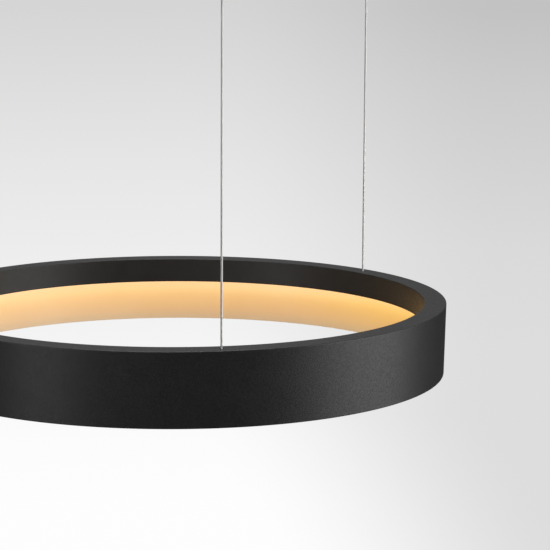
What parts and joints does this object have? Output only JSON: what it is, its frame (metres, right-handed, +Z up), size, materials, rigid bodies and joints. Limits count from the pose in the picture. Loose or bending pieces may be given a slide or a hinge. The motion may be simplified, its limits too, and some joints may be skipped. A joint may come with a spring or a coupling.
{
  "type": "led ceiling chandelier",
  "caption": "Black ring pendant lamp hung level on upright steel wires, its white inner face lit warm from a hidden channel, with wire grippers, ceiling caps and a driver rose.",
  "frame": {"origin": "on the ring's axis in the plane of the ceiling, the middle of the circle of the ceiling screws", "axes": "+Z up, -Y towards the wire that stands in front in the picture, the other wires at 30 and 150 degrees from +X; the driver rose is round the wire at 150 degrees"},
  "size_m": [0.4263, 0.4085, 0.332],
  "materials": {
    "black_coating": "fine matte black powder coat",
    "white_liner": "satin white film, lit warm from the channel above",
    "opal_cover": "opal, lit warm from behind",
    "carrier_aluminium": "mill finish",
    "strip_white": "white solder mask",
    "chip_phosphor": "yellow phosphor, lit",
    "dark_component": "black resistor body",
    "zinc_screw": "zinc plated",
    "black_screw": "black oxide",
    "black_nylon": "moulded black nylon",
    "grey_nylon": "moulded pale grey nylon",
    "tinned_copper": "tinned",
    "anchor_steel": "machined, zinc plated",
    "wire_steel": "bare stainless",
    "satin_nickel": "satin nickel plate",
    "cage_brass": "turned brass",
    "driver_white": "moulded white",
    "board_green": "circuit board",
    "entry_rubber": "soft black"
  },
  "bodies": {
    "root": {"ceiling_base_1": "anchor_steel", "ceiling_base_2": "anchor_steel", "ceiling_base_3": "anchor_steel", "ceiling_cap_1": "black_coating", "ceiling_cap_2": "black_coating", "ceiling_cap_3": "black_coating", "cap_screws": "black_screw", "rose_plate": "zinc_screw", "rose_cover": "black_coating", "rose_screws": "black_screw", "driver_case": "driver_white", "driver_lid": "driver_white", "driver_board": "board_green", "driver_screws": "zinc_screw", "mains_terminal": "grey_nylon", "terminal_screws": "zinc_screw", "entry_grommet": "entry_rubber", "rose_gland": "black_nylon", "rose_gland_nut": "black_nylon"},
    "gripper_1": {"gripper_head_1": "satin_nickel", "gripper_barrel_1": "satin_nickel", "gripper_spring_1": "wire_steel"},
    "release_1": {"release_sleeve_1": "satin_nickel", "gripper_cage_1": "cage_brass", "gripper_balls_1": "wire_steel"},
    "hanger_1": {"wire_end_1": "wire_steel", "suspension_wire_1": "wire_steel"},
    "gripper_2": {"gripper_head_2": "satin_nickel", "gripper_barrel_2": "satin_nickel", "gripper_spring_2": "wire_steel"},
    "release_2": {"release_sleeve_2": "satin_nickel", "gripper_cage_2": "cage_brass", "gripper_balls_2": "wire_steel"},
    "hanger_2": {"wire_end_2": "wire_steel", "suspension_wire_2": "wire_steel"},
    "gripper_3": {"gripper_head_3": "satin_nickel", "gripper_barrel_3": "satin_nickel", "gripper_spring_3": "wire_steel"},
    "release_3": {"release_sleeve_3": "satin_nickel", "gripper_cage_3": "cage_brass", "gripper_balls_3": "wire_steel"},
    "hanger_3": {"wire_end_3": "wire_steel", "suspension_wire_3": "wire_steel"},
    "ring": {"ring_housing": "black_coating", "reflector_liner": "white_liner", "led_carrier": "carrier_aluminium", "led_strip": "strip_white", "led_chips": "chip_phosphor", "strip_resistors": "dark_component", "diffuser": "opal_cover", "carrier_screws": "zinc_screw", "ring_gland": "black_nylon", "ring_gland_nut": "black_nylon", "feed_terminal": "grey_nylon", "feed_pins": "tinned_copper", "wire_anchor_1": "anchor_steel", "wire_anchor_2": "anchor_steel", "wire_anchor_3": "anchor_steel"}
  },
  "joints": [
    {"name": "sway_1", "type": "hinge", "parent": "root", "child": "gripper_1", "pos_m": [0, -0.192, -0.0119], "axis": [0, 1, 0], "range_deg": [-4, 4]},
    {"name": "height_1", "type": "slide", "parent": "gripper_1", "child": "hanger_1", "axis": [0, 0, 1], "range_m": [0, 0.12], "deforming": ["suspension_wire_1"]},
    {"name": "release_1_press", "type": "slide", "parent": "gripper_1", "child": "release_1", "axis": [0, 0, 1], "range_m": [0, 0.0025], "stiffness_N_per_m": 300, "springref_m": -0.004, "deforming": ["gripper_spring_1"]},
    {"name": "sway_2", "type": "hinge", "parent": "root", "child": "gripper_2", "pos_m": [0.16628, 0.096, -0.0119], "axis": [0, 1, 0], "range_deg": [-4, 4]},
    {"name": "height_2", "type": "slide", "parent": "gripper_2", "child": "hanger_2", "axis": [0, 0, 1], "range_m": [0, 0.12], "deforming": ["suspension_wire_2"]},
    {"name": "release_2_press", "type": "slide", "parent": "gripper_2", "child": "release_2", "axis": [0, 0, 1], "range_m": [0, 0.0025], "stiffness_N_per_m": 300, "springref_m": -0.004, "deforming": ["gripper_spring_2"]},
    {"name": "sway_3", "type": "hinge", "parent": "root", "child": "gripper_3", "pos_m": [-0.16628, 0.096, -0.0119], "axis": [0, 1, 0], "range_deg": [-4, 4]},
    {"name": "height_3", "type": "slide", "parent": "gripper_3", "child": "hanger_3", "axis": [0, 0, 1], "range_m": [0, 0.12], "deforming": ["suspension_wire_3"]},
    {"name": "release_3_press", "type": "slide", "parent": "gripper_3", "child": "release_3", "axis": [0, 0, 1], "range_m": [0, 0.0025], "stiffness_N_per_m": 300, "springref_m": -0.004, "deforming": ["gripper_spring_3"]},
    {"name": "ring_level", "type": "hinge", "parent": "hanger_1", "child": "ring", "pos_m": [0, -0.192, -0.2854], "axis": [0, 1, 0], "range_deg": [-4, 4]}
  ],
  "couplings": [
    {"joint": "sway_2", "follows": "sway_1", "ratio": 1},
    {"joint": "height_2", "follows": "height_1", "ratio": 1},
    {"joint": "sway_3", "follows": "sway_1", "ratio": 1},
    {"joint": "height_3", "follows": "height_1", "ratio": 1},
    {"joint": "ring_level", "follows": "sway_1", "ratio": -1}
  ]
}
